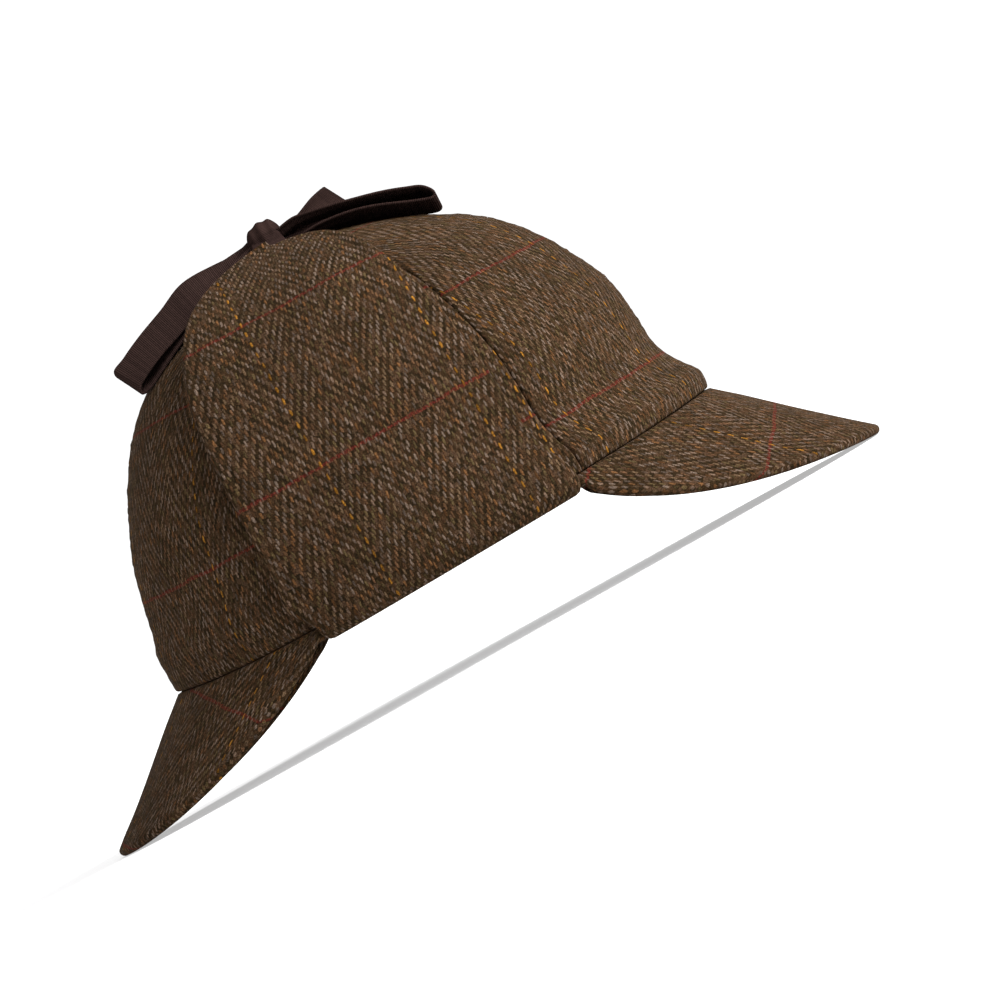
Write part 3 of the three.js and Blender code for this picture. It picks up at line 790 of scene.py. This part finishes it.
FLAP_LENGTH = slice_length(0) - RIBBON_WIDTH / 2 - FLAP_TIP_CLEARANCE
FLAP_EDGE_RADIUS = FLAP_WALL / 2
STITCH_INSET = 2.6
STITCH_DEPTH = 0.4
STITCH_HALF_WIDTH = 0.55
FLAP_WAVE = 0.45
FLAP_WAVE_LENGTH = 42
FLAP_CALM = 12
FLAP_WEAVE_ZERO = (-20.3, 43.3)
FOLD_ROWS = 14


def flap_reach(along):
    """The x of a flap's back and front edges, and how far its back edge stands off."""
    _, back, front, off = read_by(flap_edges, along)
    free = smoothstep(along * FLAP_LENGTH, 0, FLAP_WALL + FLAP_FOLD_RADIUS)
    return (
        -lerp(FOLD_HALF_LENGTH, FLAP_BACK_REACH * back, free),
        lerp(FOLD_HALF_LENGTH, FLAP_FRONT_REACH * front, free),
        off,
    )


def flap_gap(across, off):
    return FLAP_CLEARANCE + FLAP_STAND_OFF * off * (1 - across) ** 2


def over_crown(x, distance, out, way):
    climb = climb_after(x, distance)
    turn = turn_at_x(x, climb, way)
    return crown_point(turn, climb) + crown_normal(turn, climb) * out[..., None]


def distance_to_outline(x, distance, outline):
    """How far each point of a flap, laid flat, lies from the flap's outline."""
    gaps = [np.hypot(x - edge_x, distance - edge_up) for edge_x, edge_up in outline]
    return np.min(gaps, axis=0)


def ear_flap(name, way):
    along = graded(0, 1.01, 0.0025, 0.011, 0.045, both=False)[:, None]
    back, front, off = flap_reach(along)
    shrink = np.minimum(FLAP_EDGE_RADIUS, (front - back) / 3)
    back, front = back + shrink, front - shrink
    share = graded(0, 1, 0.0045, 0.0155, 0.05)[None, :]
    x = lerp(back, front, share)
    walked = along * (FLAP_LENGTH - FLAP_EDGE_RADIUS) + 0 * x
    gap = flap_gap(share, off)

    rows = range(len(along))
    outline = [(edge[row, 0], walked[row, 0]) for edge in (back, front) for row in rows]
    inset = distance_to_outline(x, walked, outline)
    stitched = STITCH_DEPTH * np.exp(-((inset - STITCH_INSET) / STITCH_HALF_WIDTH) ** 2)
    stitched = stitched * smoothstep(walked, FLAP_WALL, FLAP_CALM)
    upper_inner = over_crown(x, walked, gap, way)
    wave = waves(upper_inner, FLAP_WAVE, FLAP_WAVE_LENGTH, 23) * smoothstep(walked, 0, FLAP_CALM)
    risen = smoothstep(walked, 0, FLAP_FOLD_RISE)
    thick = lerp(FLAP_FOLD_RADIUS - FLAP_CLEARANCE, FLAP_WALL, risen)
    upper_outer = over_crown(x, walked, gap + thick + wave - stitched, way)

    edge_x = x[0]
    turn = turn_at_x(edge_x, 0 * edge_x, way)
    edge = crown_point(turn, 0 * edge_x)
    out = unit(crown_normal(turn, 0 * edge_x) * (1, 1, 0))
    below = np.array([0, 0, -1.0])
    tucked = edge - out * CROWN_WALL
    fold_outer = [tucked + below * (RIM_CLEARANCE + FLAP_WALL)]
    fold_inner = [tucked + below * RIM_CLEARANCE]
    fold_up = [-(FLAP_FOLD_RADIUS * math.pi / 2 + CROWN_WALL)]
    for turned_share in np.linspace(0, 1, FOLD_ROWS, endpoint=False):
        angle = turned_share * math.pi / 2
        radial = below * math.cos(angle) + out * math.sin(angle)
        fold_outer.append(edge + radial * FLAP_FOLD_RADIUS)
        fold_inner.append(edge + radial * lerp(RIM_CLEARANCE, FLAP_CLEARANCE, turned_share))
        fold_up.append(-(1 - turned_share) * FLAP_FOLD_RADIUS * math.pi / 2)
    outer = np.concatenate([np.stack(fold_outer), upper_outer])
    inner = np.concatenate([np.stack(fold_inner), upper_inner])
    up = np.concatenate([np.array(fold_up)[:, None] + 0 * edge_x, walked])
    sideways = np.concatenate([np.repeat(x[:1], len(fold_up), axis=0), x])
    weave = np.stack([sideways, up], axis=-1) - FLAP_WEAVE_ZERO
    bulge = np.ones(outer.shape[:2])
    bulge[0] = 0
    piece = closed_sheet(name + "_cloth", outer, inner, weave, bulge)
    wear(piece, name, TWEED)


ear_flap("ear_flap_right", -1)
ear_flap("ear_flap_left", 1)


# Ribbons and bow

RIBBON_WALL = 0.9
RIBBON_ROWS = 110
RIBBON_COLUMNS = 17
KNOT_TUCK = 1.5
GATHER_DEPTH = 0.16
TIE_LAP = 5
TIE_SPREAD = 0.6
TIE_GATHER = 0.75
TIE_TUCK = 2
TIE_PULL = 0.8


def ribbon_sheet(name, middle, face):
    """A ribbon from its middle surface and the way its upper face looks."""
    columns = np.linspace(-0.5, 0.5, middle.shape[1])
    line = middle[:, middle.shape[1] // 2]
    steps = np.linalg.norm(np.diff(line, axis=0), axis=-1)
    along = np.concatenate([[0], np.cumsum(steps)])
    weave = np.stack(np.broadcast_arrays(columns[None] * RIBBON_WIDTH, along[:, None]), axis=-1)
    half = face * RIBBON_WALL / 2
    return closed_sheet(name, middle + half, middle - half, weave)


def bow_ribbon(name, path, length, way, folds):
    """A loop or tail of the bow, from the knot's end to the front (way 1) or the back (way -1)."""
    table = smooth_table(path)
    start = KNOT_LENGTH / 2 + KNOT_CLEARANCE

    def centre(share):
        reach, lift, drift, _, _, _ = table(share)
        x = way * (start - KNOT_TUCK + reach * (length + KNOT_TUCK))
        return points_of(x, drift * RIBBON_WIDTH, crown_top_line(x) + lift * KNOT_HEIGHT)

    share = np.linspace(0, 1, RIBBON_ROWS)[:, None]
    column = np.linspace(-0.5, 0.5, RIBBON_COLUMNS)[None, :]
    share = share + 0 * column
    _, _, _, width, roll, lean = table(share)
    roll, lean = np.radians(roll), np.radians(lean)
    crosswise = points_of(np.sin(roll) * np.sin(lean), np.cos(roll), np.sin(roll) * np.cos(lean))
    onward = unit(centre(np.minimum(share + 0.01, 1)) - centre(np.maximum(share - 0.01, 0)))
    face = unit(np.cross(onward, crosswise))
    middle = centre(share) + crosswise * (column * RIBBON_WIDTH * width)[..., None]
    gather = (1 - width) * RIBBON_WIDTH * GATHER_DEPTH
    crease = gather * np.sin(2 * math.pi * (column * folds + 0.2))
    middle = middle + face * crease[..., None]
    piece = ribbon_sheet(name + "_cloth", middle, face)
    wear(piece, name, GROSGRAIN)


bow_ribbon("bow_loop_front", FRONT_LOOP_PATH, 51, 1, 2)
bow_ribbon("bow_loop_back", BACK_LOOP_PATH, 59, -1, 2)
bow_ribbon("bow_tail_front", FRONT_TAIL_PATH, 24, 1, 1.5)
bow_ribbon("bow_tail_back", BACK_TAIL_PATH, 34, -1, 1.5)


def tie_ribbon(name, way):
    """A tie lies on its flap up to the flap's tip and crosses from there to the knot's side."""
    column = np.linspace(-0.5, 0.5, RIBBON_COLUMNS)[None, :]
    aside = column * RIBBON_WIDTH * TIE_SPREAD

    def lap_middle(back_from_tip):
        along = 1 - back_from_tip / FLAP_LENGTH
        back, front, off = flap_reach(along)
        across = np.clip((aside - back) / (front - back), 0, 1)
        out = flap_gap(across, off) + FLAP_WALL / 2
        return over_crown(aside + 0 * along, FLAP_LENGTH - back_from_tip + 0 * aside, out, way)

    laps = np.linspace(TIE_LAP, 0, 10)[:, None]
    lying = lap_middle(laps)
    leaving = unit(lap_middle(np.zeros((1, 1))) - lap_middle(np.full((1, 1), 1.0)))[0]
    side = way * (KNOT_WIDTH / 2 + KNOT_CLEARANCE - TIE_TUCK)
    end = points_of(column[0] * KNOT_LENGTH * TIE_GATHER, side, KNOT_MIDDLE_HEIGHT)
    start = lying[-1]
    pull = np.linalg.norm(end - start, axis=-1, keepdims=True)
    arriving = np.array([0, -way * 0.8, 0.6])
    crossing = []
    for share in np.linspace(0, 1, 30)[1:]:
        cube, square = share ** 3, share ** 2
        blend = (2 * cube - 3 * square + 1) * start + (3 * square - 2 * cube) * end
        blend = blend + (cube - 2 * square + share) * leaving * pull * TIE_PULL
        crossing.append(blend + (cube - square) * arriving * pull)
    middle = np.concatenate([lying, np.stack(crossing)])
    onward = np.gradient(middle, axis=0)
    sideways = np.gradient(middle, axis=1)
    face = unit(np.cross(sideways, onward))
    piece = ribbon_sheet(name + "_cloth", middle, face)
    wear(piece, name, GROSGRAIN)


tie_ribbon("tie_ribbon_right", -1)
tie_ribbon("tie_ribbon_left", 1)


KNOT_ROUNDS = 72
KNOT_STEPS = 40
KNOT_SQUARENESS = 2.6


def bow_knot(name):
    """The knot: a ribbon pulled round the bow's middle, in soft folds."""
    turn = np.linspace(0, 2 * math.pi, KNOT_ROUNDS, endpoint=False)[None, :]
    end = np.linspace(-1, 1, KNOT_STEPS)[:, None]
    profile = np.sqrt(np.clip(1 - np.abs(end) ** 3.2, 0, 1)) * 0.86 + 0.14 * (1 - end ** 2)
    folds = 0.05 * np.cos(3 * math.pi * end + 0.8 * np.sin(turn)) * (1 - end ** 4)
    radius = KNOT_HEIGHT / 2 * np.clip(profile + folds, 0.02, 1.05)
    square = np.abs(np.cos(turn)) ** KNOT_SQUARENESS + np.abs(np.sin(turn)) ** KNOT_SQUARENESS
    radius = radius * square ** (-1 / KNOT_SQUARENESS)
    x = end * KNOT_LENGTH / 2 + 0.6 * np.sin(turn) * (1 - end ** 2)
    y = radius * np.cos(turn) * KNOT_WIDTH / KNOT_HEIGHT
    z = radius * np.sin(turn) + KNOT_MIDDLE_HEIGHT
    surface = points_of(x, y, z)
    points = np.vstack([surface.reshape(-1, 3), surface[[0, -1]].mean(axis=1)])

    index = np.arange(KNOT_STEPS * KNOT_ROUNDS).reshape(KNOT_STEPS, KNOT_ROUNDS)
    wrapped = np.hstack([index, index[:, :1]])
    first_centre = np.full(KNOT_ROUNDS, index.size)
    first = np.stack([wrapped[0, 1:], wrapped[0, :-1], first_centre], -1)
    last = np.stack([wrapped[-1, :-1], wrapped[-1, 1:], first_centre + 1], -1)

    girth = math.pi * (KNOT_HEIGHT + KNOT_WIDTH) / 2
    around = np.linspace(0, 1, KNOT_ROUNDS + 1)[None] * girth
    places = np.stack(np.broadcast_arrays(end * KNOT_LENGTH / 2, around), -1).reshape(-1, 2)
    marks = np.arange(len(places)).reshape(KNOT_STEPS, KNOT_ROUNDS + 1)
    caps = np.vstack([first, last])
    quads = grid_quads(wrapped)
    piece = mesh_piece(name + "_cloth", points, quads, places[grid_quads(marks)], caps)
    wear(piece, name, GROSGRAIN)


bow_knot("bow_knot")


# Floor, light and camera

FLOOR_REACH = 60
BACKDROP_RADIUS = 50


def floor():
    mesh = bpy.data.meshes.new("floor")
    signs = [(-1, -1), (1, -1), (1, 1), (-1, 1)]
    corners = [(x * FLOOR_REACH, y * FLOOR_REACH, 0) for x, y in signs]
    mesh.from_pydata(corners, [], [(0, 1, 2, 3)])
    ground = placed("floor", mesh)
    nodes = Nodes("floor")
    nodes.shader.inputs["Base Color"].default_value = (0.55, 0.55, 0.55, 1)
    nodes.shader.inputs["Emission Color"].default_value = (1, 1, 1, 1)
    nodes.shader.inputs["Emission Strength"].default_value = 0.45
    nodes.shader.inputs["Roughness"].default_value = 1
    nodes.shader.inputs["Specular IOR Level"].default_value = 0
    mesh.materials.append(nodes.material)


def backdrop():
    """A plain white studio backdrop all round, which shows behind the hat and lights nothing."""
    mesh = bpy.data.meshes.new("backdrop")
    form = bmesh.new()
    bmesh.ops.create_uvsphere(form, u_segments=48, v_segments=24, radius=BACKDROP_RADIUS)
    form.to_mesh(mesh)
    form.free()
    dome = placed("backdrop", mesh)
    nodes = Nodes("backdrop")
    nodes.shader.inputs["Base Color"].default_value = (0, 0, 0, 1)
    nodes.shader.inputs["Emission Color"].default_value = (1, 1, 1, 1)
    nodes.shader.inputs["Emission Strength"].default_value = 1.0
    mesh.materials.append(nodes.material)
    dome.visible_diffuse = False
    dome.visible_glossy = False
    dome.visible_transmission = False
    dome.visible_shadow = False


def lamp(name, place, spread, strength):
    """A soft light that shines from place towards the hat, as wide as spread in degrees."""
    light = bpy.data.lights.new(name, "SUN")
    light.angle = math.radians(spread)
    light.energy = strength
    stand = placed(name, light)
    stand.location = place
    stand.rotation_euler = (-Vector(place)).to_track_quat("-Z", "Y").to_euler()


def surroundings():
    world = bpy.data.worlds.new("studio")
    world.use_nodes = True
    background = world.node_tree.nodes["Background"]
    background.inputs["Color"].default_value = (1, 1, 1, 1)
    background.inputs["Strength"].default_value = 1.0
    bpy.context.scene.world = world
    bpy.context.scene.view_settings.view_transform = "Standard"


def photo_camera():
    camera = bpy.data.cameras.new("camera")
    camera.sensor_width = SENSOR_WIDTH
    camera.lens = SENSOR_WIDTH * CAMERA_DISTANCE / PHOTO_WIDTH
    camera.clip_end = 100
    eye = resting(np.array([PHOTO_CENTRE[0], -CAMERA_DISTANCE, PHOTO_CENTRE[1]]))
    right = turned((math.cos(PHOTO_TILT), 0, -math.sin(PHOTO_TILT)))
    upward = turned((math.sin(PHOTO_TILT), 0, math.cos(PHOTO_TILT)))
    axes = Matrix(np.stack([right, upward, (0, -1, 0)]).tolist()).transposed().to_4x4()
    holder = placed("camera", camera)
    holder.matrix_world = Matrix.Translation(eye.tolist()) @ axes
    bpy.context.scene.camera = holder


floor()
backdrop()
surroundings()
lamp("key", (2.1, -0.75, 1.35), 24, 6.5)
lamp("side", (1.1, -1.7, 0.35), 30, 1.6)
photo_camera()
